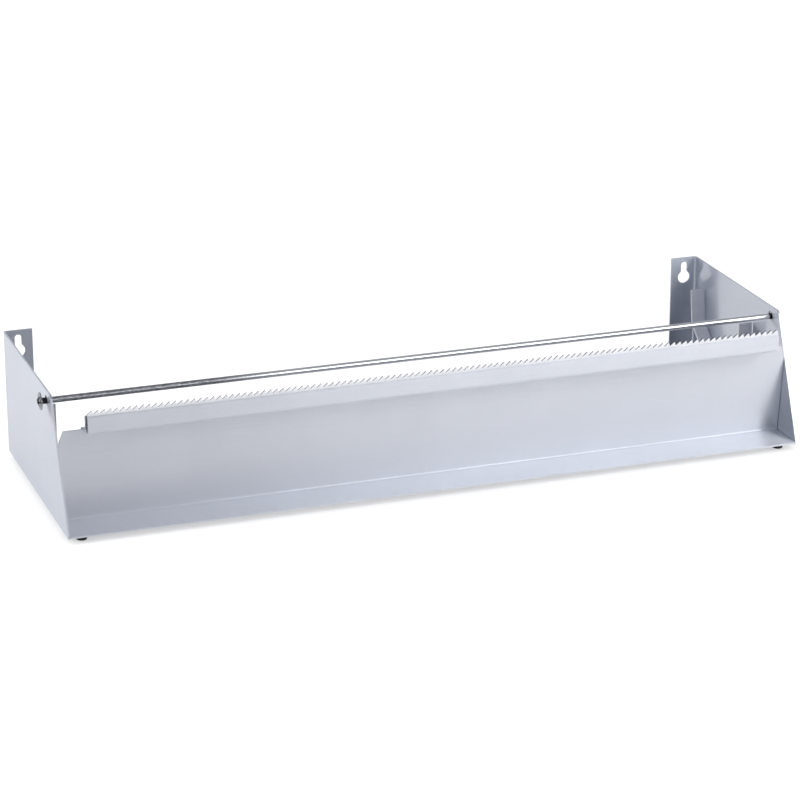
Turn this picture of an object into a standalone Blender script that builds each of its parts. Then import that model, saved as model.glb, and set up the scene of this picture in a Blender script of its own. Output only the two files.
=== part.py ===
"""Counter dispenser for cling film on a roll, in folded stainless steel.

X runs along the width, -Y is the front with the cutting edge, +Z is up. The origin is in the
middle of the footprint, at the height of the surface that the rubber feet stand on. Metres.
"""
import math

import bmesh
import bpy
from mathutils import Vector

# Overall sizes
BODY_WIDTH = 0.500  # over the outer faces of the two end plates
PLATE_DEPTH = 0.167
PLATE_HEIGHT = 0.083
PLATE_TOP_SETBACK = 0.0345  # the front edge slants back by this much on its way up
PLATE_CORNER_RADIUS = 0.004
SHEET = 0.0012
BEND_RADIUS = 0.0012  # inside radius of the folds
SEAT_GAP = 0.0003  # between pieces that touch

# Flanges and keyholes of the end plates
REAR_FLANGE_WIDTH = 0.0195
BASE_FLANGE_WIDTH = 0.018
BASE_FLANGE_SETBACK = 0.003  # from the front sheet and from the rear flange
KEYHOLE_BORE = 0.009
KEYHOLE_SLOT = 0.0045
KEYHOLE_RISE = 0.0088  # from the bore's centre to the centre of the slot's round end
KEYHOLE_DROP = 0.0143  # of the bore's centre below the top edge

# Front sheet: lip, panel, shelf and cover strip in one fold
CREASE_DEPTH = 0.0281
PANEL_TOP_DEPTH = 0.0214
PANEL_TOP_HEIGHT = 0.0636
SHELF_RISE = 0.0024  # of the shelf on its way to the front
STRIP_DEPTH = 0.0029
STRIP_HEIGHT = 0.0112
STRIP_INSET = 0.0158  # of the strip's ends from the plates' outer faces
EAR_DROP = 0.0006  # of the ears' top below the fold between panel and shelf
EAR_CHAMFER_WIDTH = 0.0028
EAR_CHAMFER_HEIGHT = 0.0080

# Cutting blade and the angle behind it
BLADE_THICKNESS = 0.0010
BLADE_STAND = 0.0013  # of the tooth roots above the cover strip
TOOTH_HEIGHT = 0.0025
TOOTH_COUNT = 114
TOOTH_LEAN_SHARE = 0.75  # of the pitch taken by the long flank
ANGLE_GAP = 0.0017  # open channel between the blade and the angle's leg
ANGLE_DROP = 0.0002  # of the angle's top below the strip's top
ANGLE_OVERHANG = 0.0008  # of the angle's ends past the strip's ends

# Roll trough
TROUGH_FRONT_DEPTH = 0.0722
TROUGH_REAR_SETBACK = 0.0183  # of the rear ears' top from the rear face
TROUGH_EAR_LEAN = 0.0035  # by which the rear ears lean back from the bend to their top
TROUGH_SLOPE_RUN = 0.0362  # depth of the sloping bed, from the flat bottom to the bend
TROUGH_LOW_HEIGHT = 0.0102
TROUGH_BEND_HEIGHT = 0.0410
TROUGH_FRONT_EAR_HEIGHT = 0.0635
TROUGH_REAR_EAR_HEIGHT = 0.0642
TROUGH_WALL_HEIGHT = 0.0300
TROUGH_BED_HEIGHT = 0.0150
TROUGH_EAR_WIDTH = 0.0098
TROUGH_END_GAP = 0.0007
TROUGH_TAB_DROP = 0.0080
TROUGH_TAB_START = 0.0060  # behind the trough's front wall
TROUGH_TAB_LENGTH = 0.0180

# Guide rod and its push-on washers
ROD_DIAMETER = 0.0040
ROD_HOLE = 0.0058
ROD_DEPTH = 0.0457
ROD_DROP = 0.0071  # of the rod's axis below the plates' top edge
ROD_OVERHANG = 0.0056
ROD_CHAMFER = 0.0004
WASHER_DIAMETER = 0.0112
WASHER_RIM = 0.0016
WASHER_SHEET = 0.0006
WASHER_DISH = 0.0009
LEFT_WASHER_STANDOFF = 0.0036  # from the end plate's outer face
RIGHT_WASHER_STANDOFF = 0.0017
WASHER_SLOT = 0.0008
WASHER_TONGUES = 6

# Rubber feet
FOOT_DIAMETER = 0.0080
FOOT_BASE_DIAMETER = 0.0068
FOOT_HEIGHT = 0.0042
FOOT_EDGE = 0.0006
FOOT_INSET = 0.0105  # of the feet's centres from the plates' outer faces
FRONT_FOOT_DEPTH = 0.0085
REAR_FOOT_SETBACK = 0.0120  # from the rear face

# Shared working values
OVERRUN = 0.002  # by which every cutter passes the faces that it cuts
WELD_DISTANCE = 0.00001  # under which points of a turned surface are one
ARC_STEPS = 6
ROUND_STEPS = 32
BORE_STEPS = 28

HALF_WIDTH = BODY_WIDTH / 2
INNER_HALF = HALF_WIDTH - SHEET
TOP = FOOT_HEIGHT + PLATE_HEIGHT
ROD_HEIGHT = TOP - ROD_DROP
STRIP_HALF = HALF_WIDTH - STRIP_INSET
STRIP_BASE_HEIGHT = PANEL_TOP_HEIGHT + SHELF_RISE
STRIP_TOP_HEIGHT = STRIP_BASE_HEIGHT + STRIP_HEIGHT
EAR_HEIGHT = PANEL_TOP_HEIGHT - EAR_DROP
TROUGH_REAR_DEPTH = PLATE_DEPTH - TROUGH_REAR_SETBACK
TROUGH_BEND_DEPTH = TROUGH_REAR_DEPTH - TROUGH_EAR_LEAN
TROUGH_SLOPE_DEPTH = TROUGH_BEND_DEPTH - TROUGH_SLOPE_RUN


def y_at(depth):
    """World Y of a point that lies this far behind the front edge."""
    return depth - PLATE_DEPTH / 2


def z_at(height):
    """World Z of a point at this height above the plates' lower edge."""
    return FOOT_HEIGHT + height


def at(depth, height):
    """World (Y, Z) of a point of a side view."""
    return (y_at(depth), z_at(height))


def clear_scene():
    for item in list(bpy.data.objects):
        bpy.data.objects.remove(item, do_unlink=True)


def make_material(name, colour, roughness, metallic):
    material = bpy.data.materials.new(name)
    material.use_nodes = True
    shader = material.node_tree.nodes["Principled BSDF"]
    shader.inputs["Base Color"].default_value = (*colour, 1.0)
    shader.inputs["Roughness"].default_value = roughness
    shader.inputs["Metallic"].default_value = metallic
    return material


def rounded_path(corners, radii):
    """The polyline through the corners, each inner corner rounded with its own radius."""
    points = [Vector(corners[0])]
    for before, corner, after, radius in zip(corners, corners[1:], corners[2:], radii):
        corner = Vector(corner)
        to_before = (Vector(before) - corner).normalized()
        to_after = (Vector(after) - corner).normalized()
        half = to_before.angle(to_after) / 2
        start = corner + to_before * (radius / math.tan(half))
        centre = corner + (to_before + to_after).normalized() * (radius / math.sin(half))
        sweep = (start - centre).angle_signed(corner + to_after * (radius / math.tan(half)) - centre)
        for step in range(ARC_STEPS + 1):
            angle = -sweep * step / ARC_STEPS
            spoke = start - centre
            points.append(centre + Vector((
                spoke.x * math.cos(angle) - spoke.y * math.sin(angle),
                spoke.x * math.sin(angle) + spoke.y * math.cos(angle))))
    points.append(Vector(corners[-1]))
    return points


def folded_outline(corners, thickness, inside_radius):
    """Closed section of a folded sheet: the corners lie on one face, the sheet on their right."""
    directions = [(Vector(b) - Vector(a)).normalized() for a, b in zip(corners, corners[1:])]
    normals = [Vector((d.y, -d.x)) for d in directions]
    far = [Vector(corners[0]) + normals[0] * thickness]
    near_radii, far_radii = [], []
    for index, corner in enumerate(corners[1:-1]):
        first, second = normals[index], normals[index + 1]
        mitre = (first + second).normalized()
        far.append(Vector(corner) + mitre * (thickness / mitre.dot(first)))
        turns_left = first.cross(second) > 0
        near_radii.append(inside_radius if turns_left else inside_radius + thickness)
        far_radii.append(inside_radius + thickness if turns_left else inside_radius)
    far.append(Vector(corners[-1]) + normals[-1] * thickness)
    near_side = rounded_path(corners, near_radii)
    far_side = rounded_path([tuple(p) for p in far], far_radii)
    return near_side + far_side[::-1]


def arc(centre, radius, start, end, steps):
    """Points of a circular arc from one angle to another, in radians."""
    return [(centre[0] + radius * math.cos(start + (end - start) * step / steps),
             centre[1] + radius * math.sin(start + (end - start) * step / steps))
            for step in range(steps + 1)]


def finish(name, mesh_builder, material=None):
    """Turn a bmesh into a named object with its faces pointing out."""
    bmesh.ops.recalc_face_normals(mesh_builder, faces=mesh_builder.faces)
    mesh = bpy.data.meshes.new(name)
    mesh_builder.to_mesh(mesh)
    mesh_builder.free()
    item = bpy.data.objects.new(name, mesh)
    bpy.context.scene.collection.objects.link(item)
    if material is not None:
        mesh.materials.append(material)
    return item


def prism(name, outline, axis, start, end, material=None):
    """Extrude a closed outline along X, Y or Z from start to end.

    Outlines are (Y, Z) for an extrusion along X, (X, Z) along Y and (X, Y) along Z.
    """
    place = {
        "X": lambda u, v: (start, u, v),
        "Y": lambda u, v: (u, start, v),
        "Z": lambda u, v: (u, v, start),
    }[axis]
    travel = {"X": (end - start, 0, 0), "Y": (0, end - start, 0), "Z": (0, 0, end - start)}[axis]
    builder = bmesh.new()
    face = builder.faces.new([builder.verts.new(place(u, v)) for u, v in outline])
    grown = bmesh.ops.extrude_face_region(builder, geom=[face])
    moved = [part for part in grown["geom"] if isinstance(part, bmesh.types.BMVert)]
    bmesh.ops.translate(builder, verts=moved, vec=travel)
    return finish(name, builder, material)


def turned(name, profile, axis_point, direction, steps, material=None):
    """Spin a closed (radius, along) profile round an axis parallel to X or Z through axis_point."""
    builder = bmesh.new()
    along_x = direction == "X"
    verts = []
    for radius, along in profile:
        offset = Vector((along, radius, 0)) if along_x else Vector((radius, 0, along))
        verts.append(builder.verts.new(Vector(axis_point) + offset))
    starts_off_axis = profile[0][0] > 0
    following = verts[1:] + verts[:1] if starts_off_axis else verts[1:]
    edges = [builder.edges.new(pair) for pair in zip(verts, following)]
    axis = (1, 0, 0) if along_x else (0, 0, 1)
    bmesh.ops.spin(builder, geom=verts + edges, cent=axis_point, axis=axis,
                   angle=math.tau, steps=steps, use_merge=True)
    bmesh.ops.remove_doubles(builder, verts=builder.verts, dist=WELD_DISTANCE)
    return finish(name, builder, material)


def combine(target, tool, operation):
    """Add a Boolean modifier that keeps the tool as a hidden guide."""
    modifier = target.modifiers.new(tool.name, "BOOLEAN")
    modifier.operation = operation
    modifier.solver = "EXACT"
    modifier.object = tool
    tool.hide_render = True
    tool.display_type = "WIRE"


def shade_round(item, limit=math.radians(30)):
    item.data.shade_smooth()
    item.data.set_sharp_from_angle(angle=limit)


def side_outline():
    """Side view of an end plate: upright rear, level top, front edge slanting forward to the foot."""
    corners = [at(PLATE_DEPTH, 0), at(0, 0),
               at(PLATE_TOP_SETBACK, PLATE_HEIGHT), at(PLATE_DEPTH, PLATE_HEIGHT)]
    sharp = [Vector(corners[0]), Vector(corners[1])]
    return sharp + rounded_path(corners[1:], [PLATE_CORNER_RADIUS])[1:]


def keyhole_outline(centre_x, centre_z):
    """Round hole with a narrower slot rising from it."""
    bore, slot = KEYHOLE_BORE / 2, KEYHOLE_SLOT / 2
    meet = math.acos(slot / bore)
    lower = arc((centre_x, centre_z), bore, math.pi - meet, math.tau + meet, BORE_STEPS)
    upper = arc((centre_x, centre_z + KEYHOLE_RISE), slot, 0, math.pi, ARC_STEPS * 2)
    return lower + upper


def end_plate(name, side, steel):
    """One end plate, with its rear flange, its base flange, the keyhole and the rod's hole."""
    outer = side * HALF_WIDTH
    rear = y_at(PLATE_DEPTH)
    corners = [(outer, y_at(-OVERRUN)), (outer, rear), (outer - side * REAR_FLANGE_WIDTH, rear)]
    if side > 0:
        corners.reverse()
    section = folded_outline(corners, SHEET, BEND_RADIUS)
    plate = prism(name, section, "Z", z_at(-OVERRUN), z_at(PLATE_HEIGHT + OVERRUN), steel)

    outward = outer + side * OVERRUN
    left, right = sorted((outer - side * (REAR_FLANGE_WIDTH + OVERRUN), outward))
    combine(plate, prism(name + "_outline", side_outline(), "X", left, right), "INTERSECT")

    flange_start = CREASE_DEPTH + SHEET + BASE_FLANGE_SETBACK
    flange_end = PLATE_DEPTH - SHEET - BEND_RADIUS - BASE_FLANGE_SETBACK
    left, right = sorted((outer - side * SHEET / 2, outer - side * BASE_FLANGE_WIDTH))
    flange = [(left, z_at(0)), (right, z_at(0)), (right, z_at(SHEET)), (left, z_at(SHEET))]
    combine(plate, prism(name + "_base", flange, "Y", y_at(flange_start), y_at(flange_end)), "UNION")

    keyhole = keyhole_outline(outer - side * REAR_FLANGE_WIDTH / 2, TOP - KEYHOLE_DROP)
    near, far = rear - SHEET - OVERRUN, rear + OVERRUN
    combine(plate, prism(name + "_keyhole", keyhole, "Y", near, far), "DIFFERENCE")

    hole_radius = ROD_HOLE / 2
    hole_height = ROD_HEIGHT + hole_radius - ROD_DIAMETER / 2 - SEAT_GAP
    hole = arc((y_at(ROD_DEPTH), hole_height), hole_radius, 0, math.tau, BORE_STEPS)[:-1]
    left, right = sorted((outer - side * (SHEET + OVERRUN), outward))
    combine(plate, prism(name + "_rod_hole", hole, "X", left, right), "DIFFERENCE")
    return plate


def front_sheet(steel):
    """Lip, leaning panel, shelf and cover strip, folded from one sheet."""
    half = INNER_HALF - SEAT_GAP
    corners = [at(0, SHEET), at(CREASE_DEPTH, SHEET), at(PANEL_TOP_DEPTH, PANEL_TOP_HEIGHT),
               at(STRIP_DEPTH, STRIP_BASE_HEIGHT), at(STRIP_DEPTH, STRIP_TOP_HEIGHT)]
    sheet = prism("front_sheet", folded_outline(corners, SHEET, BEND_RADIUS), "X", -half, half, steel)
    for side, label in ((-1, "left"), (1, "right")):
        outside = half + OVERRUN
        left, right = sorted((side * STRIP_HALF, side * outside))
        low, high = z_at(EAR_HEIGHT), z_at(STRIP_TOP_HEIGHT + OVERRUN)
        notch = [(left, low), (right, low), (right, high), (left, high)]
        near, far = y_at(-OVERRUN), y_at(CREASE_DEPTH + SHEET + OVERRUN)
        combine(sheet, prism("ear_notch_" + label, notch, "Y", near, far), "DIFFERENCE")
        overrun_across = OVERRUN * EAR_CHAMFER_WIDTH / EAR_CHAMFER_HEIGHT
        low, high = z_at(EAR_HEIGHT - EAR_CHAMFER_HEIGHT - OVERRUN), z_at(EAR_HEIGHT + OVERRUN)
        chamfer = [(side * (half + overrun_across), low),
                   (side * (half - EAR_CHAMFER_WIDTH - overrun_across), high),
                   (side * outside, high), (side * outside, low)]
        combine(sheet, prism("ear_chamfer_" + label, chamfer, "Y", near, far), "DIFFERENCE")
    return sheet


def shelf_top(depth):
    """Height of the shelf's upper face at a depth, above the plates' lower edge."""
    run = PANEL_TOP_DEPTH - STRIP_DEPTH
    rise = PANEL_TOP_HEIGHT - STRIP_BASE_HEIGHT
    upright_thickness = SHEET * math.hypot(run, rise) / run
    return STRIP_BASE_HEIGHT + rise * (depth - STRIP_DEPTH) / run + upright_thickness


BLADE_DEPTH = STRIP_DEPTH + SHEET + SEAT_GAP
BLADE_BACK_DEPTH = BLADE_DEPTH + BLADE_THICKNESS


def serrated_blade(steel):
    """Flat strip behind the cover strip, with saw teeth that lean to the right."""
    pitch = 2 * STRIP_HALF / TOOTH_COUNT
    root = z_at(STRIP_TOP_HEIGHT + BLADE_STAND)
    bottom = z_at(shelf_top(BLADE_DEPTH) + BEND_RADIUS + SEAT_GAP)
    outline = [(-STRIP_HALF, bottom), (STRIP_HALF, bottom)]
    for index in reversed(range(TOOTH_COUNT)):
        left = -STRIP_HALF + index * pitch
        outline.append((left + pitch, root))
        outline.append((left + pitch * TOOTH_LEAN_SHARE, root + TOOTH_HEIGHT))
    outline.append((-STRIP_HALF, root))
    return prism("serrated_blade", outline, "Y", y_at(BLADE_DEPTH), y_at(BLADE_BACK_DEPTH), steel)


def blade_angle(steel):
    """Small angle on the shelf: its leg stands behind the blade and closes the channel."""
    toe = BLADE_BACK_DEPTH + SEAT_GAP
    heel = BLADE_BACK_DEPTH + ANGLE_GAP + SHEET
    top = STRIP_TOP_HEIGHT - ANGLE_DROP
    corners = [at(heel, top), at(heel, shelf_top(heel) + SEAT_GAP), at(toe, shelf_top(toe) + SEAT_GAP)]
    inside, half = BEND_RADIUS / 2, STRIP_HALF + ANGLE_OVERHANG
    return prism("blade_angle", folded_outline(corners, SHEET, inside), "X", -half, half, steel)


def roll_trough(steel):
    """Trough for the roll: flat bottom, sloping bed and a narrow upright ear at each corner."""
    half = INNER_HALF - TROUGH_END_GAP
    corners = [at(TROUGH_FRONT_DEPTH, TROUGH_FRONT_EAR_HEIGHT),
               at(TROUGH_FRONT_DEPTH, TROUGH_LOW_HEIGHT), at(TROUGH_SLOPE_DEPTH, TROUGH_LOW_HEIGHT),
               at(TROUGH_BEND_DEPTH, TROUGH_BEND_HEIGHT), at(TROUGH_REAR_DEPTH, TROUGH_REAR_EAR_HEIGHT)]
    trough = prism("roll_trough", folded_outline(corners, SHEET, BEND_RADIUS), "X", -half, half, steel)
    middle = half - TROUGH_EAR_WIDTH
    above = z_at(TROUGH_REAR_EAR_HEIGHT + OVERRUN)
    front, behind = TROUGH_FRONT_DEPTH - SHEET - OVERRUN, TROUGH_REAR_DEPTH + SHEET + OVERRUN
    inside = TROUGH_FRONT_DEPTH + OVERRUN
    for label, low, near, far in (("front_wall_cut", z_at(TROUGH_WALL_HEIGHT), front, inside),
                                  ("bed_cut", z_at(TROUGH_BED_HEIGHT), inside, behind)):
        window = [(-middle, low), (middle, low), (middle, above), (-middle, above)]
        combine(trough, prism(label, window, "Y", y_at(near), y_at(far)), "DIFFERENCE")
    start = TROUGH_FRONT_DEPTH + TROUGH_TAB_START
    end = start + TROUGH_TAB_LENGTH
    low, high = TROUGH_LOW_HEIGHT - TROUGH_TAB_DROP, TROUGH_LOW_HEIGHT - SHEET / 2
    tab = [at(start, low), at(end, low), at(end, high), at(start, high)]
    against_plate = INNER_HALF - SEAT_GAP
    for side, label in ((-1, "left"), (1, "right")):
        left, right = sorted((side * against_plate, side * (against_plate - SHEET)))
        combine(trough, prism("trough_tab_" + label, tab, "X", left, right), "UNION")
    return trough


def guide_rod(steel):
    """Straight rod through both end plates, free to spin in its holes."""
    radius = ROD_DIAMETER / 2
    half = HALF_WIDTH + ROD_OVERHANG
    profile = [(0, -half), (radius - ROD_CHAMFER, -half), (radius, -half + ROD_CHAMFER),
               (radius, half - ROD_CHAMFER), (radius - ROD_CHAMFER, half), (0, half)]
    rod = turned("guide_rod", profile, (0, 0, 0), "X", ROUND_STEPS, steel)
    rod.location = (0, y_at(ROD_DEPTH), ROD_HEIGHT)
    shade_round(rod)
    return rod


def rod_washer(name, side, standoff, steel):
    """Dished push-on washer with tongues that grip the end of the rod."""
    bore = ROD_DIAMETER / 2 + SEAT_GAP
    outer = WASHER_DIAMETER / 2
    flat = outer - WASHER_RIM
    near = side * (HALF_WIDTH + standoff)
    rim_far = near + side * WASHER_SHEET
    profile = [(outer, near), (outer, rim_far), (flat, rim_far), (bore, rim_far + side * WASHER_DISH),
               (bore, near + side * WASHER_DISH), (flat, near)]
    washer = turned(name, profile, (0, 0, 0), "X", ROUND_STEPS, steel)
    builder = bmesh.new()
    for index in range(WASHER_TONGUES):
        turn = math.tau * index / WASHER_TONGUES
        radial = Vector((0, math.cos(turn), math.sin(turn)))
        across = Vector((0, -math.sin(turn), math.cos(turn))) * (WASHER_SLOT / 2)
        inner, tip = radial * (bore - WASHER_SLOT), radial * flat
        start = Vector((near - side * OVERRUN, 0, 0))
        end = Vector((rim_far + side * (WASHER_DISH + OVERRUN), 0, 0))
        slot = (inner - across, tip - across, tip + across, inner + across)
        rings = [[builder.verts.new(centre + spot) for spot in slot] for centre in (start, end)]
        builder.faces.new(rings[0])
        builder.faces.new(rings[1][::-1])
        for first in range(len(rings[0])):
            second = (first + 1) % len(rings[0])
            builder.faces.new((rings[0][first], rings[0][second], rings[1][second], rings[1][first]))
    slots = finish(name + "_slots", builder)
    combine(washer, slots, "DIFFERENCE")
    for item in (washer, slots):
        item.location = (0, y_at(ROD_DEPTH), ROD_HEIGHT)
    shade_round(washer)
    return washer


def rubber_foot(name, side, depth, rubber):
    """Short round foot stuck under the sheet, a little narrower where it stands."""
    top = FOOT_HEIGHT - SEAT_GAP
    base, rim = FOOT_BASE_DIAMETER / 2, FOOT_DIAMETER / 2
    rounding = [(base - FOOT_EDGE + FOOT_EDGE * math.sin(turn), FOOT_EDGE - FOOT_EDGE * math.cos(turn))
                for turn in (math.pi / 2 * step / ARC_STEPS for step in range(ARC_STEPS + 1))]
    profile = [(0, 0)] + rounding + [(rim, top), (0, top)]
    foot = turned(name, profile, (0, 0, 0), "Z", ROUND_STEPS, rubber)
    foot.location = (side * (HALF_WIDTH - FOOT_INSET), y_at(depth), 0)
    shade_round(foot)
    return foot


def build():
    clear_scene()
    brushed = make_material("satin_stainless_steel", (0.60, 0.62, 0.66), 0.28, 1.0)
    polished = make_material("polished_steel_rod", (0.66, 0.67, 0.69), 0.12, 1.0)
    blade_steel = make_material("blade_steel", (0.72, 0.73, 0.75), 0.22, 1.0)
    spring_steel = make_material("spring_steel", (0.42, 0.43, 0.45), 0.32, 1.0)
    rubber = make_material("black_rubber", (0.02, 0.02, 0.022), 0.75, 0.0)

    end_plate("left_end_plate", -1, brushed)
    end_plate("right_end_plate", 1, brushed)
    front_sheet(brushed)
    roll_trough(brushed)
    serrated_blade(blade_steel)
    blade_angle(brushed)
    guide_rod(polished)
    for side, label, standoff in ((-1, "left", LEFT_WASHER_STANDOFF), (1, "right", RIGHT_WASHER_STANDOFF)):
        rod_washer("rod_washer_" + label, side, standoff, spring_steel)
        rubber_foot("foot_front_" + label, side, FRONT_FOOT_DEPTH, rubber)
        rubber_foot("foot_rear_" + label, side, PLATE_DEPTH - REAR_FOOT_SETBACK, rubber)


build()
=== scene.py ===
# %% [markdown]
# # A cling film dispenser in folded stainless steel
#
# The object is a long tray of thin sheet steel. Two end plates hold everything: a front sheet with a
# saw-toothed cutting edge, a rod that guides the film, and a trough for the roll. Each cell below
# explains one piece or one finish first, and then makes it.
#
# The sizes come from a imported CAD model. We load it before anything else, because every piece that we
# add must lie exactly where the CAD model says.

# %% Load the CAD model
import math

import bmesh
import bpy
from mathutils import Matrix, Vector


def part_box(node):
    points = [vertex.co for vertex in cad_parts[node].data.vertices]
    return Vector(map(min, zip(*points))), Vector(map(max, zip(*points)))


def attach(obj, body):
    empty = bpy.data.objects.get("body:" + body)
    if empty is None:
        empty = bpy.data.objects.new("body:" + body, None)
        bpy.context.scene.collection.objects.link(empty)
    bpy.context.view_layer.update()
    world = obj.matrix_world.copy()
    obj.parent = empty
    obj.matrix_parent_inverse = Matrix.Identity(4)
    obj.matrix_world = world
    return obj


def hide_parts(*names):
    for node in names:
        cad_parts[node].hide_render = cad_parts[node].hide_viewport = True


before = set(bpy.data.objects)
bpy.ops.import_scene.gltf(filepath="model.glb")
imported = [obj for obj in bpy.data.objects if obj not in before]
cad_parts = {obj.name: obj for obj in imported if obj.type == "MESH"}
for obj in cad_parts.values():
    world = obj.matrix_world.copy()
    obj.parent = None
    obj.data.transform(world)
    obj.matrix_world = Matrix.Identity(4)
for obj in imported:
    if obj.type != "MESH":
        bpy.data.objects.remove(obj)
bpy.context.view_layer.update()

print("nodes:", ", ".join(sorted(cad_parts)))

# %% [markdown]
# ## The camera
#
# The photograph was taken from the front left and a little above. We could turn the camera by hand
# until it looks right, but corners of the object were measured in the photograph and the camera was
# solved from them. So we write its place and its viewing direction directly. A long lens keeps the
# edges almost parallel, as in a product photograph.

# %% Place the camera
IMAGE_SIZE = 800
SENSOR_WIDTH = 36.0
CAMERA_PLACE = Vector((-0.64111, -1.78730, 0.72436))
CAMERA_RIGHT = Vector((0.941783, -0.336220, 0.000452))
CAMERA_UP = Vector((0.114012, 0.320622, 0.940321))
CAMERA_BACK = Vector((-0.316299, -0.885527, 0.340290))
FOCAL_PIXELS = 3040.79
FARTHEST_SEEN = 100.0

camera_data = bpy.data.cameras.new("photograph_camera")
camera_data.sensor_width = SENSOR_WIDTH
camera_data.lens = FOCAL_PIXELS / IMAGE_SIZE * SENSOR_WIDTH
camera_data.clip_end = FARTHEST_SEEN
camera = bpy.data.objects.new("photograph_camera", camera_data)
bpy.context.scene.collection.objects.link(camera)
turn = Matrix((CAMERA_RIGHT, CAMERA_UP, CAMERA_BACK)).transposed()
camera.matrix_world = Matrix.Translation(CAMERA_PLACE) @ turn.to_4x4()
bpy.context.scene.camera = camera
bpy.context.scene.view_settings.view_transform = "Standard"
print("lens", round(camera_data.lens, 2), "mm on a", SENSOR_WIDTH, "mm sensor")

# %% [markdown]
# ## Small helpers for materials
#
# Colours are easiest to compare with a photograph as hex codes, but a shader works with linear light.
# One function turns the first into the second. Another adds a node to a material, sets its values
# and links its inputs, so that each material below reads like a recipe. An input is named by its label,
# or by its number where Blender gives several the same label. A Mix node keeps its two plain numbers in
# 2 and 3, and its two colours in 6 and 7.

# %% Colour and node helpers
def linear(hex_code):
    """A hex colour such as #D5D9E3 as the linear values that a shader needs."""
    values = [int(hex_code[i:i + 2], 16) / 255 for i in (1, 3, 5)]
    return tuple(v / 12.92 if v <= 0.04045 else ((v + 0.055) / 1.055) ** 2.4 for v in values) + (1.0,)


def add(tree, kind, settings=None, **inputs):
    """Add one node. An input gets a value, or a link where an output socket is given."""
    node = tree.nodes.new(kind)
    for name, value in (settings or {}).items():
        setattr(node, name, value)
    for name, value in inputs.items():
        label = int(name[3:]) if name.startswith("in_") else name.replace("_", " ")
        if isinstance(value, bpy.types.NodeSocket):
            tree.links.new(value, node.inputs[label])
        else:
            node.inputs[label].default_value = value
    return node


def new_material(name):
    """An empty node material with its output node."""
    material = bpy.data.materials.new(name)
    material.use_nodes = True
    material.node_tree.nodes.clear()
    return material, material.node_tree, material.node_tree.nodes.new("ShaderNodeOutputMaterial")


print("white in linear light:", linear("#FFFFFF")[:3])

# %% [markdown]
# ## The floor and the room
#
# The dispenser stands on white paper in a photographer's studio. The paper has to look white to the
# camera and still show where the object keeps the light away. So part of its brightness is its own, for
# rays that show it, and the rest is light that falls on it. The lamps alone could make it white too, but
# then they would also wash out the steel. In the steel's reflections the paper's own part is smaller,
# because what the steel shows is mostly the paper close by, where the lamps are strongest.

# %% Make the paper floor
PAPER_HALF = 12.0  # metres, far past anything that the camera or the steel can see
PAPER_GLOW = 0.42  # its own brightness for the camera
PAPER_MIRRORED = 0.30  # share of its own brightness that reflections show
PAPER_COLOUR = "#E0E0E0"


def shown_rays(tree, path, mirrored):
    """1 for a ray from the camera or through glass, and what is given for a mirrored ray."""
    direct = add(tree, "ShaderNodeMath", {"operation": "MAXIMUM"}, in_0=path.outputs["Is Camera Ray"],
                 in_1=mirrored)
    through = add(tree, "ShaderNodeMath", {"operation": "MAXIMUM"}, in_0=direct.outputs[0],
                  in_1=path.outputs["Is Transmission Ray"])
    return through.outputs[0]


paper_mesh = bmesh.new()
bmesh.ops.create_grid(paper_mesh, x_segments=1, y_segments=1, size=PAPER_HALF)
paper_data = bpy.data.meshes.new("paper_floor")
paper_mesh.to_mesh(paper_data)
paper_mesh.free()
paper = bpy.data.objects.new("paper_floor", paper_data)
bpy.context.scene.collection.objects.link(paper)

paper_material, tree, output = new_material("white_paper")
path = add(tree, "ShaderNodeLightPath")
mirrored = add(tree, "ShaderNodeMath", {"operation": "MULTIPLY"}, in_0=path.outputs["Is Glossy Ray"],
               in_1=PAPER_MIRRORED)
glow = add(tree, "ShaderNodeMath", {"operation": "MULTIPLY"},
           in_0=shown_rays(tree, path, mirrored.outputs[0]), in_1=PAPER_GLOW)
lit = add(tree, "ShaderNodeBsdfDiffuse", Color=linear(PAPER_COLOUR))
own = add(tree, "ShaderNodeEmission", Color=linear("#FFFFFF"), Strength=glow.outputs[0])
both = add(tree, "ShaderNodeAddShader", in_0=lit.outputs[0], in_1=own.outputs[0])
tree.links.new(both.outputs[0], output.inputs["Surface"])
paper_data.materials.append(paper_material)
print("paper", 2 * PAPER_HALF, "m square")

# %% [markdown]
# Steel shows the room it stands in. Here that is a plain studio with white walls and a grey ceiling. In
# the corner behind the object on the right the grey starts lower. We could build walls, but the sky of
# the scene can carry the same soft change, because it knows where each direction points.

# %% Paint the room
WALL = "#FFFFFF"
CEILING = "#A2A4AA"
WALL_FADE = (0.50, 0.70)  # sine of the heights between which the wall turns into the ceiling
DARK_CORNER = (0.7, 0.7, 0.0)  # the direction of the corner where the grey starts lower
CORNER_WIDTH = 0.6  # how nearly a direction must match the corner's to be fully in it
CORNER_DROP = 0.35  # how much lower the grey starts there

world = bpy.data.worlds.new("studio_room")
bpy.context.scene.world = world
world.use_nodes = True
tree = world.node_tree
tree.nodes.clear()
direction = add(tree, "ShaderNodeTexCoord").outputs["Generated"]
split = add(tree, "ShaderNodeSeparateXYZ", Vector=direction)
corner = add(tree, "ShaderNodeVectorMath", {"operation": "DOT_PRODUCT"}, in_0=direction,
             in_1=DARK_CORNER)
drop = add(tree, "ShaderNodeMapRange", {"interpolation_type": "SMOOTHSTEP"},
           Value=corner.outputs["Value"], From_Max=CORNER_WIDTH, To_Max=CORNER_DROP)
level = add(tree, "ShaderNodeMath", {"operation": "ADD"}, in_0=split.outputs["Z"],
            in_1=drop.outputs[0])
height = add(tree, "ShaderNodeMapRange", {"interpolation_type": "SMOOTHSTEP"}, Value=level.outputs[0],
             From_Min=WALL_FADE[0], From_Max=WALL_FADE[1])
room = add(tree, "ShaderNodeMix", {"data_type": "RGBA"}, Factor=height.outputs[0],
           in_6=linear(WALL), in_7=linear(CEILING))
print("wall", WALL, "and ceiling", CEILING)

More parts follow.
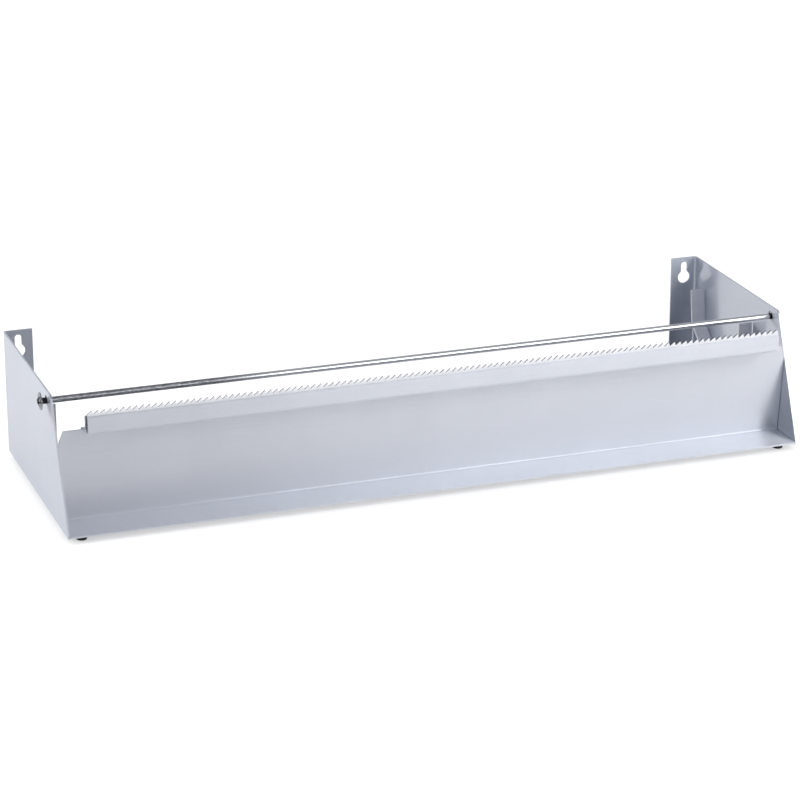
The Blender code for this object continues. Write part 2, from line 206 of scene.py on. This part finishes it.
# %% [markdown]
# The camera and the steel see this room as it is painted. Everything else only needs an even light from
# all sides, so other rays get a plain white that is a little weaker.

# %% Light the room
FILL_STRENGTH = 0.75

path = add(tree, "ShaderNodeLightPath")
seen = add(tree, "ShaderNodeBackground", Color=room.outputs[2], Strength=1.0)
fill = add(tree, "ShaderNodeBackground", Color=linear("#FFFFFF"), Strength=FILL_STRENGTH)
sky = add(tree, "ShaderNodeMixShader", Fac=shown_rays(tree, path, path.outputs["Is Glossy Ray"]),
          in_1=fill.outputs[0], in_2=seen.outputs[0])
output = tree.nodes.new("ShaderNodeOutputWorld")
tree.links.new(sky.outputs[0], output.inputs["Surface"])
print("fill light", FILL_STRENGTH)

# %% [markdown]
# Soft boxes give the light a direction. They are large and near, so shadows stay soft. Three hang on the
# right, in front of the object: the key light, a weaker one high above it, and a low wide one. The steel
# shows them as a gentle brightening from left to right, and the round rod shows them as a white line.
# One on the left lights the outside of the left plate, and one behind it on the left lights the inside
# of the tray. The camera doesn't see the boxes themselves.

# %% Hang the soft boxes
SOFT_BOXES = (
    # name, its place, the point it faces, width, height, brightness
    ("key_soft_box", (0.80, -1.05, 0.70), (0.10, 0.00, 0.04), 1.1, 0.8, 1.2),
    ("high_right_soft_box", (0.75, -1.10, 1.20), (0.10, 0.00, 0.04), 1.0, 0.7, 0.7),
    ("low_right_soft_box", (0.95, -1.45, 0.45), (0.10, 0.00, 0.05), 1.4, 0.4, 2.6),
    ("left_soft_box", (-1.10, -0.30, 0.80), (0.00, 0.00, 0.04), 0.8, 0.8, 1.6),
    ("rear_left_soft_box", (-0.75, 1.05, 0.55), (-0.25, 0.10, 0.03), 0.8, 0.6, 1.6),
)


def soft_box(name, place, aim, width, height, brightness):
    """A rectangular lamp that faces a point. Its brightness is what a mirror would show of it."""
    data = bpy.data.lights.new(name, "AREA")
    data.shape, data.size, data.size_y = "RECTANGLE", width, height
    data.energy = brightness * math.pi * width * height
    lamp = bpy.data.objects.new(name, data)
    lamp.location = place
    lamp.rotation_euler = (Vector(aim) - Vector(place)).to_track_quat("-Z", "Y").to_euler()
    lamp.visible_camera = False
    bpy.context.scene.collection.objects.link(lamp)


for box in SOFT_BOXES:
    soft_box(*box)
print("lamps:", [box[0] for box in SOFT_BOXES])

# %% [markdown]
# ## Satin stainless steel
#
# The sheets are austenitic stainless steel, ground on a fine abrasive belt, which leaves parallel
# scratches. Along them the surface mirrors almost clearly, and across them it blurs, so a reflection is
# drawn out at right angles to the grain. The shader's anisotropy does this, and needs to know which way
# the grain runs. A UV map called grain says that: U follows the scratches on every face.
#
# The colour isn't quite even either. There are clouds a few centimetres across, as on any rolled sheet,
# and streaks along the grain. Both go into one tone from dark to light.

# %% The tones of a ground sheet
GRAIN_SPACING = 0.0009  # metres; drawn about three times too coarse so that it shows
GRAIN_LENGTH = 0.050
CLOUD_SIZE = 0.045
TONE_LIMITS = (0.35, 0.65)  # noise up to the first is all dark, and from the second on all light


def sheet_tone(tree, grain, place):
    """A value from 0 for dark to 1 for light that follows the grain and the clouds."""
    coarse = add(tree, "ShaderNodeMapping", Vector=grain,
                 Scale=(1 / GRAIN_LENGTH, 1 / GRAIN_SPACING, 1.0))
    streaks = add(tree, "ShaderNodeTexNoise", {"noise_dimensions": "2D"}, Vector=coarse.outputs[0],
                  Scale=1.0, Detail=2.0, Roughness=0.6)
    clouds = add(tree, "ShaderNodeTexNoise", Vector=place, Scale=1 / CLOUD_SIZE, Detail=4.0,
                 Roughness=0.55)
    mixed = add(tree, "ShaderNodeMix", {"data_type": "FLOAT"}, in_0=0.5, in_2=clouds.outputs[0],
                in_3=streaks.outputs[0])
    return add(tree, "ShaderNodeMapRange", Value=mixed.outputs[0], From_Min=TONE_LIMITS[0],
               From_Max=TONE_LIMITS[1]).outputs[0]


print("grain", GRAIN_SPACING * 1000, "mm, clouds", CLOUD_SIZE * 1000, "mm")

# %% [markdown]
# The finest scratches are rough, and the ridges between them stay smooth, so the steel shows a fairly
# sharp image with a wide haze over it. We could mix two shaders. It is simpler to let a fine streaky
# noise switch the roughness between two values: the streaks are finer than a pixel, so the eye sees the
# mixture. Last, a low, wide wave bends the reflections, because thin sheet is never quite flat.

# %% Satin steel, with a grain
SCRATCH_SPACING = 0.00002  # metres, as left by a fine abrasive belt
SCRATCH_LENGTH = 0.0003
SCRATCH_EDGE = 0.05  # width of the step in the noise from a smooth ridge to a rough scratch
RIDGES_IN_LIGHT = -0.03  # the noise is moved by this much where the tone is light: more ridges there
SHEET_WAVE = 0.120  # metres from crest to crest of the sheet's own unevenness
QUARTER_TURN = 0.25  # turns the blur from along the grain, the shader's own way, to across it


def satin_steel(name, light, dark, ridge, scratch, ridge_level, anisotropy, wave_height, painted_cut_shade=None):
    """Steel with a grain: ridge and scratch are roughnesses, and noise below ridge_level is ridge."""
    material, tree, output = new_material(name)
    grain = add(tree, "ShaderNodeUVMap", {"uv_map": "grain"}).outputs[0]
    place = add(tree, "ShaderNodeTexCoord").outputs["Object"]
    tone = sheet_tone(tree, grain, place)
    paint = add(tree, "ShaderNodeMix", {"data_type": "RGBA"}, Factor=tone, in_6=linear(dark),
                in_7=linear(light))
    # painted shade: the sheared faces are painted the cut colour, dark for how dark they look in their
    # light
    if painted_cut_shade:
        sheared_painted_shade = add(tree, "ShaderNodeAttribute", {"attribute_name": "sheared_painted_shade"})
        paint = add(tree, "ShaderNodeMix", {"data_type": "RGBA"}, Factor=sheared_painted_shade.outputs["Fac"],
                    in_6=paint.outputs[2], in_7=linear(painted_cut_shade))
    fine = add(tree, "ShaderNodeMapping", Vector=grain,
               Scale=(1 / SCRATCH_LENGTH, 1 / SCRATCH_SPACING, 1.0))
    scratches = add(tree, "ShaderNodeTexNoise", {"noise_dimensions": "2D"}, Vector=fine.outputs[0],
                    Scale=1.0, Detail=0.0)
    level = add(tree, "ShaderNodeMath", {"operation": "MULTIPLY_ADD"}, in_0=tone,
                in_1=RIDGES_IN_LIGHT, in_2=scratches.outputs[0])
    rough = add(tree, "ShaderNodeMapRange", Value=level.outputs[0], From_Min=ridge_level,
                From_Max=ridge_level + SCRATCH_EDGE, To_Min=ridge, To_Max=scratch)
    wave = add(tree, "ShaderNodeTexNoise", Vector=place, Scale=1 / SHEET_WAVE, Detail=0.0)
    bent = add(tree, "ShaderNodeBump", Strength=1.0, Distance=wave_height, Height=wave.outputs[0])
    tangent = add(tree, "ShaderNodeTangent", {"direction_type": "UV_MAP", "uv_map": "grain"})
    steel = add(tree, "ShaderNodeBsdfPrincipled", Base_Color=paint.outputs[2], Metallic=1.0,
                Roughness=rough.outputs[0], Anisotropic=anisotropy,
                Anisotropic_Rotation=QUARTER_TURN, Normal=bent.outputs[0],
                Tangent=tangent.outputs[0])
    tree.links.new(steel.outputs[0], output.inputs["Surface"])
    return material


print("scratches", round(SCRATCH_SPACING * 1e6), "thousandths of a millimetre apart")

# %% [markdown]
# Four finishes come from this recipe. The end plates mirror most clearly: their flanges and their
# keyholes can be made out in them. The front sheet has the same grinding, a little rougher. The trough
# is hidden under the roll, so it keeps the dull skin of the rolling mill and has little grain. The blade
# is a paler, harder steel, and its sheared faces are painted dark, as painted shade for how dark they
# look in their light.

# %% The four sheet finishes
plate_steel = satin_steel("satin_ground_stainless_plate", "#DADEE8", "#D4D8E2", ridge=0.15,
                          scratch=0.60, ridge_level=0.44, anisotropy=0.97, wave_height=0.0003)
front_steel = satin_steel("satin_ground_stainless_front", "#DFE2EA", "#DADDE5", ridge=0.25,
                          scratch=0.62, ridge_level=0.42, anisotropy=0.96, wave_height=0.0003)
trough_steel = satin_steel("cold_rolled_stainless_trough", "#DEE0E6", "#D4D6DC", ridge=0.38,
                           scratch=0.68, ridge_level=0.42, anisotropy=0.40, wave_height=0.0003)
# the cut colour is painted shade on the blade's sheared faces
blade_steel = satin_steel("stamped_blade_steel", "#EEEFF2", "#E4E6EA", ridge=0.30, scratch=0.60,
                          ridge_level=0.42, anisotropy=0.50, wave_height=0.0001, painted_cut_shade="#5C5E63")
print("sheet finishes:", plate_steel.name, front_steel.name, trough_steel.name, blade_steel.name)

# %% [markdown]
# ## Drawn steel
#
# The rod is drawn through a die, which leaves a bright skin. Its left end is rougher and painted a
# darker
# grey, with a few bright spots left: a painted reflection of the darker room that end mirrors. Where it
# turns in the end plates and past them it is painted near-black, as painted shade. The washers on its
# ends are stamped from spring steel, which is darker. Both are finely mottled. One recipe does for both,
# with the painted dark stretch and the painted shade given as places along the rod.

# %% Rod and washer materials
# painted reflection: the rod's left end is painted this darker grey for the darker room it mirrors
PAINTED_DARK_REFLECTION = "#6C6E74"
# painted shade: where the rod turns in the end plates and past them it is painted this near-black
PAINTED_END_SHADE = "#2B2B2F"
SPOT_STRETCH = 0.25  # spots are four times as long as they are wide
SPOT_LIMITS = (0.38, 0.62)  # noise values between which a spot goes from dull to bright
SPOT_SHINE = (0.05, 0.45)  # share of bright skin outside and inside a spot
DULL_ROUGHNESS = 3.0  # times the bright skin's
DIE_MARK_DEPTH = 0.00001  # metres
NEVER_DULL_AND_PAINTED_DARK = (-1.0, -0.9)  # past the object's left end
NEVER_PAINTED_END_SHADE = (0.9, 1.0)  # past both of its ends


def drawn_steel(name, light, dark, roughness, mottle, dull_and_painted_dark, painted_shade_ends):
    """Bright metal, rougher and painted darker below the first of two X values and bright above the
    second.

    The darker colour is a painted reflection. Between two distances from the middle and past them, on
    either side, it is painted near-black as painted shade."""
    material, tree, output = new_material(name)
    place = add(tree, "ShaderNodeTexCoord").outputs["Object"]
    stretched = add(tree, "ShaderNodeMapping", Vector=place, Scale=(SPOT_STRETCH, 1.0, 1.0))
    cloud = add(tree, "ShaderNodeTexNoise", Vector=stretched.outputs[0], Scale=1 / mottle,
                Detail=3.0, Roughness=0.6).outputs[0]
    tone = add(tree, "ShaderNodeMapRange", Value=cloud, From_Min=TONE_LIMITS[0],
               From_Max=TONE_LIMITS[1])
    paint = add(tree, "ShaderNodeMix", {"data_type": "RGBA"}, Factor=tone.outputs[0],
                in_6=linear(dark), in_7=linear(light))
    along = add(tree, "ShaderNodeSeparateXYZ", Vector=place).outputs["X"]
    bright = add(tree, "ShaderNodeMapRange", {"interpolation_type": "SMOOTHSTEP"}, Value=along,
                 From_Min=dull_and_painted_dark[0], From_Max=dull_and_painted_dark[1])
    spots = add(tree, "ShaderNodeMapRange", Value=cloud, From_Min=SPOT_LIMITS[0],
                From_Max=SPOT_LIMITS[1], To_Min=SPOT_SHINE[0], To_Max=SPOT_SHINE[1])
    shine = add(tree, "ShaderNodeMath", {"operation": "MAXIMUM"}, in_0=bright.outputs[0],
                in_1=spots.outputs[0])
    # the left end's darker grey is a painted reflection
    skin = add(tree, "ShaderNodeMix", {"data_type": "RGBA"}, Factor=shine.outputs[0],
               in_6=linear(PAINTED_DARK_REFLECTION), in_7=paint.outputs[2])
    # painted shade near and past the ends: the rod is painted near-black there
    outward = add(tree, "ShaderNodeMath", {"operation": "ABSOLUTE"}, in_0=along)
    end_shade_mask = add(tree, "ShaderNodeMapRange", Value=outward.outputs[0], From_Min=painted_shade_ends[0],
               From_Max=painted_shade_ends[1])
    end_shaded_skin = add(tree, "ShaderNodeMix", {"data_type": "RGBA"}, Factor=end_shade_mask.outputs[0],
               in_6=skin.outputs[2], in_7=linear(PAINTED_END_SHADE))
    rough = add(tree, "ShaderNodeMapRange", Value=shine.outputs[0],
                To_Min=roughness * DULL_ROUGHNESS, To_Max=roughness)
    marks = add(tree, "ShaderNodeBump", Strength=0.3, Distance=DIE_MARK_DEPTH, Height=cloud)
    steel = add(tree, "ShaderNodeBsdfPrincipled", Base_Color=end_shaded_skin.outputs[2], Metallic=1.0,
                Roughness=rough.outputs[0], Normal=marks.outputs[0])
    tree.links.new(steel.outputs[0], output.inputs["Surface"])
    return material


# the rod's left end gets a painted reflection, and its ends get painted shade
rod_steel = drawn_steel("drawn_bright_steel", "#EEEFF1", "#DCDEE1", roughness=0.15, mottle=0.0009,
                        dull_and_painted_dark=(-0.16, -0.09), painted_shade_ends=(0.2466, 0.2480))
washer_steel = drawn_steel("stamped_spring_steel", "#A4A6AC", "#84868D", roughness=0.16,
                           mottle=0.0015, dull_and_painted_dark=NEVER_DULL_AND_PAINTED_DARK, painted_shade_ends=NEVER_PAINTED_END_SHADE)
print("round steel:", rod_steel.name, washer_steel.name)

# %% [markdown]
# ## Rubber
#
# The feet are moulded rubber: matt, black, and a little lighter where dust and handling have rubbed
# them. Its pores are bumps in the shader, because the feet are only a few pixels high.

# %% Rubber material
PORE_SIZE = 0.0006
PORE_DEPTH = 0.00005
DUST_SIZE = 0.004


def moulded_rubber(name, clean, dusty):
    """Matt black rubber with fine pores and patches of dust."""
    material, tree, output = new_material(name)
    place = add(tree, "ShaderNodeTexCoord").outputs["Object"]
    pores = add(tree, "ShaderNodeTexNoise", Vector=place, Scale=1 / PORE_SIZE, Detail=2.0)
    dust = add(tree, "ShaderNodeTexNoise", Vector=place, Scale=1 / DUST_SIZE, Detail=2.0)
    paint = add(tree, "ShaderNodeMix", {"data_type": "RGBA"}, Factor=dust.outputs[0],
                in_6=linear(clean), in_7=linear(dusty))
    rough = add(tree, "ShaderNodeMapRange", Value=dust.outputs[0], To_Min=0.60, To_Max=0.85)
    bumps = add(tree, "ShaderNodeBump", Strength=0.5, Distance=PORE_DEPTH, Height=pores.outputs[0])
    rubber = add(tree, "ShaderNodeBsdfPrincipled", Base_Color=paint.outputs[2], Metallic=0.0,
                 IOR=1.5, Roughness=rough.outputs[0], Normal=bumps.outputs[0])
    tree.links.new(rubber.outputs[0], output.inputs["Surface"])
    return material


foot_rubber = moulded_rubber("moulded_black_rubber", "#141416", "#2A2A2D")
print("materials:", len(bpy.data.materials))

# %% [markdown]
# ## From a mesh to a piece
#
# A finished piece rides on a body of the CAD model, stands for one of its nodes and gets the finish that
# it is given. Its folds are shaded smooth and its corners stay sharp. Smooth shading also darkens the
# flat faces next to a narrow bevel, and a modifier that weighs the faces by their area puts that right.

# %% Finish a piece
MERGE_DISTANCE = 0.000002  # metres
FOLD_LIMIT = math.radians(50)  # a sharper turn than this is a corner, not a fold
AREA_WEIGHT = 100


def keep_piece(name, mesh, body, node, material):
    """Turn a bmesh into a finished piece of the object that stands for its CAD node."""
    data = bpy.data.meshes.new(name)
    mesh.to_mesh(data)
    mesh.free()
    data.shade_smooth()
    data.set_sharp_from_angle(angle=FOLD_LIMIT)
    data.materials.append(material)
    piece = bpy.data.objects.new(name, data)
    bpy.context.scene.collection.objects.link(piece)
    even = piece.modifiers.new("flat_faces_stay_flat", "WEIGHTED_NORMAL")
    even.mode, even.weight, even.keep_sharp = "FACE_AREA", AREA_WEIGHT, True
    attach(piece, body)
    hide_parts(node)
    print(name, len(data.polygons), "faces")


print("folds are smooth up to", round(math.degrees(FOLD_LIMIT)), "degrees from facet to facet")

# %% [markdown]
# ## The folded sheets
#
# The CAD model has the folds as flat facets and every cut edge razor sharp. On a real sheet the fold is
# one smooth curve and each cut edge has been rubbed down a little, so that it catches a thin line of
# light. We could model each sheet again from its outline. Because its shape is right already, it is
# quicker and safer to copy it: the loose triangles are merged, flat faces become one face each, and the
# sharp edges get a narrow bevel.

# %% Copy a sheet and rub down its edges
FLAT_LIMIT = math.radians(0.4)  # faces that turn less than this are one flat face
CUT_LIMIT = math.radians(33)  # an edge that turns more than this is rubbed down
SHEET_EDGE = 0.00016  # metres that are rubbed off


def rubbed_copy(node, edge_width):
    """The node's mesh with its triangles merged and its sharp edges bevelled."""
    mesh = bmesh.new()
    mesh.from_mesh(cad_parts[node].data)
    bmesh.ops.remove_doubles(mesh, verts=mesh.verts, dist=MERGE_DISTANCE)
    bmesh.ops.dissolve_limit(mesh, angle_limit=FLAT_LIMIT, verts=mesh.verts, edges=mesh.edges)
    sharp = [edge for edge in mesh.edges if edge.is_manifold and edge.calc_face_angle() > CUT_LIMIT]
    bmesh.ops.bevel(mesh, geom=sharp, offset=edge_width, offset_type="OFFSET", segments=2,
                    profile=0.5, affect="EDGES", clamp_overlap=True, material=-1)
    return mesh


print("edges rubbed down by", SHEET_EDGE * 1000, "mm")

# %% [markdown]
# The grain of the end plates runs from front to back, and that of the long sheets from end to end. A
# face that looks along the grain can't have scratches in that direction, so it gets a second one.

# %% Lay the grain and make the five sheets
AXES = {"X": Vector((1, 0, 0)), "Y": Vector((0, 1, 0))}
FACES_ALONG = 0.7  # cosine from which a face counts as looking along the grain
SHEETS = (
    # CAD node, piece, material, a slot name that nothing reads, grain and second grain
    ("left_end_plate", "left_plate", plate_steel, "plate_steel", "YX"),
    ("right_end_plate", "right_plate", plate_steel, "plate_steel", "YX"),
    ("front_sheet", "folded_front", front_steel, "front_sheet_steel", "XY"),
    ("roll_trough", "film_trough", trough_steel, "trough_steel", "XY"),
    ("blade_angle", "angle_behind_blade", plate_steel, "angle_steel", "XY"),
)


def lay_grain(mesh, first, second):
    """Write the grain UV map: U follows the first axis, or the second on faces that look along it."""
    layer = mesh.loops.layers.uv.new("grain")
    for face in mesh.faces:
        along = AXES[first]
        if abs(face.normal.dot(along)) >= FACES_ALONG:
            along = AXES[second]
        across = face.normal.cross(along)
        for corner in face.loops:
            place = corner.vert.co
            corner[layer].uv = (place.dot(along), place.dot(across))


for node, name, material, slot, grain in SHEETS:
    sheet = rubbed_copy(node, SHEET_EDGE)
    lay_grain(sheet, *grain)
    keep_piece(name, sheet, "housing", node, material)

# %% [markdown]
# ## The saw-toothed blade
#
# The blade is a strip of harder steel, stamped with 114 teeth that lean to the right. A tooth is only
# 2.5 mm high. Its points must stay sharp, so they get a far narrower bevel than the sheets. The faces
# where the press has sheared it are painted dark, as painted shade, and a number on each face tells the
# material where to paint it.

# %% The blade
BLADE_EDGE = 0.00005
SHEARED_LIMIT = 0.6  # the flat faces look to the front and back, and all the others were sheared

blade = rubbed_copy("serrated_blade", BLADE_EDGE)
# the faces marked here are painted dark, as painted shade
sheared_painted_shade = blade.faces.layers.float.new("sheared_painted_shade")
for face in blade.faces:
    face[sheared_painted_shade] = 1.0 if abs(face.normal.y) < SHEARED_LIMIT else 0.0
lay_grain(blade, "X", "Y")
keep_piece("toothed_blade", blade, "housing", "serrated_blade", blade_steel)

# %% [markdown]
# ## The guide rod
#
# The film runs over a plain round rod that turns loosely in the end plates. A cylinder would do for the
# middle, but the ends are chamfered, and a spun profile gives both in one step. We draw half of the
# rod's outline in a plane through its axis and spin it once round. Outline points on the axis close the
# ends.

# %% Spin the rod
ROD_CHAMFER = 0.0004
ROD_STEPS = 64


def spun(outline, centre, axis, steps):
    """Spin (X, Z) points, counted from a centre, once round an axis through it."""
    mesh = bmesh.new()
    verts = [mesh.verts.new(centre + Vector((x, 0, z))) for x, z in outline]
    edges = [mesh.edges.new(pair) for pair in zip(verts, verts[1:])]
    bmesh.ops.spin(mesh, geom=verts + edges, cent=centre, axis=axis, angle=math.tau, steps=steps,
                   use_merge=True)
    bmesh.ops.remove_doubles(mesh, verts=mesh.verts, dist=MERGE_DISTANCE)
    bmesh.ops.recalc_face_normals(mesh, faces=mesh.faces)
    return mesh


low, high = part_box("guide_rod")
rod_radius = (high.z - low.z) / 2
rod_half = (high.x - low.x) / 2
rod_centre = Vector((0, (low.y + high.y) / 2, (low.z + high.z) / 2))
rod_outline = [(-rod_half, 0), (-rod_half, rod_radius - ROD_CHAMFER),
               (-rod_half + ROD_CHAMFER, rod_radius), (rod_half - ROD_CHAMFER, rod_radius),
               (rod_half, rod_radius - ROD_CHAMFER), (rod_half, 0)]
rod = spun(rod_outline, rod_centre, (1, 0, 0), ROD_STEPS)
keep_piece("spun_rod", rod, "guide_rod_set", "guide_rod", rod_steel)
print("rod", round(rod_radius * 2000, 2), "mm thick,", round(rod_half * 2000, 1), "mm long")

# %% [markdown]
# ## The push-on washers
#
# A push-on washer is a small steel dish with slits. Its tongues bite into the rod and keep it from
# sliding out. The CAD model has its true shape, slits included, so a copy with softened edges is enough.

# %% The washers
WASHER_EDGE = 0.00008

for side in ("left", "right"):
    keep_piece(side + "_push_washer", rubbed_copy("rod_washer_" + side, WASHER_EDGE),
               "guide_rod_set", "rod_washer_" + side, washer_steel)

# %% [markdown]
# ## The rubber feet
#
# Each foot is a short moulded button, a little narrower where it stands. Its outline is spun like the
# rod's, about an upright axis. The rounded lower rim shows as a soft edge above the floor.

# %% Spin the feet
FOOT_TAPER = 0.85  # radius where it stands, as a share of the widest
FOOT_ROUNDING = 0.0006
RIM_CUT = FOOT_ROUNDING / 3
ROUNDING_STEPS = 6
FOOT_STEPS = 48


def foot(node, name):
    """A rubber button between its CAD node's corners."""
    low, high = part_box(node)
    centre = Vector(((low.x + high.x) / 2, (low.y + high.y) / 2, 0))
    widest, height = (high.x - low.x) / 2, high.z
    inner = widest * FOOT_TAPER - FOOT_ROUNDING
    outline = [(0, 0)]
    for step in range(ROUNDING_STEPS + 1):
        turned = math.pi / 2 * step / ROUNDING_STEPS
        outline.append((inner + FOOT_ROUNDING * math.sin(turned),
                        FOOT_ROUNDING - FOOT_ROUNDING * math.cos(turned)))
    outline += [(widest, height - RIM_CUT), (widest - RIM_CUT, height), (0, height)]
    button = spun(outline, centre, (0, 0, 1), FOOT_STEPS)
    keep_piece(name, button, "housing", node, foot_rubber)


for corner in ("front_left", "front_right", "rear_left", "rear_right"):
    foot("foot_" + corner, "rubber_foot_" + corner)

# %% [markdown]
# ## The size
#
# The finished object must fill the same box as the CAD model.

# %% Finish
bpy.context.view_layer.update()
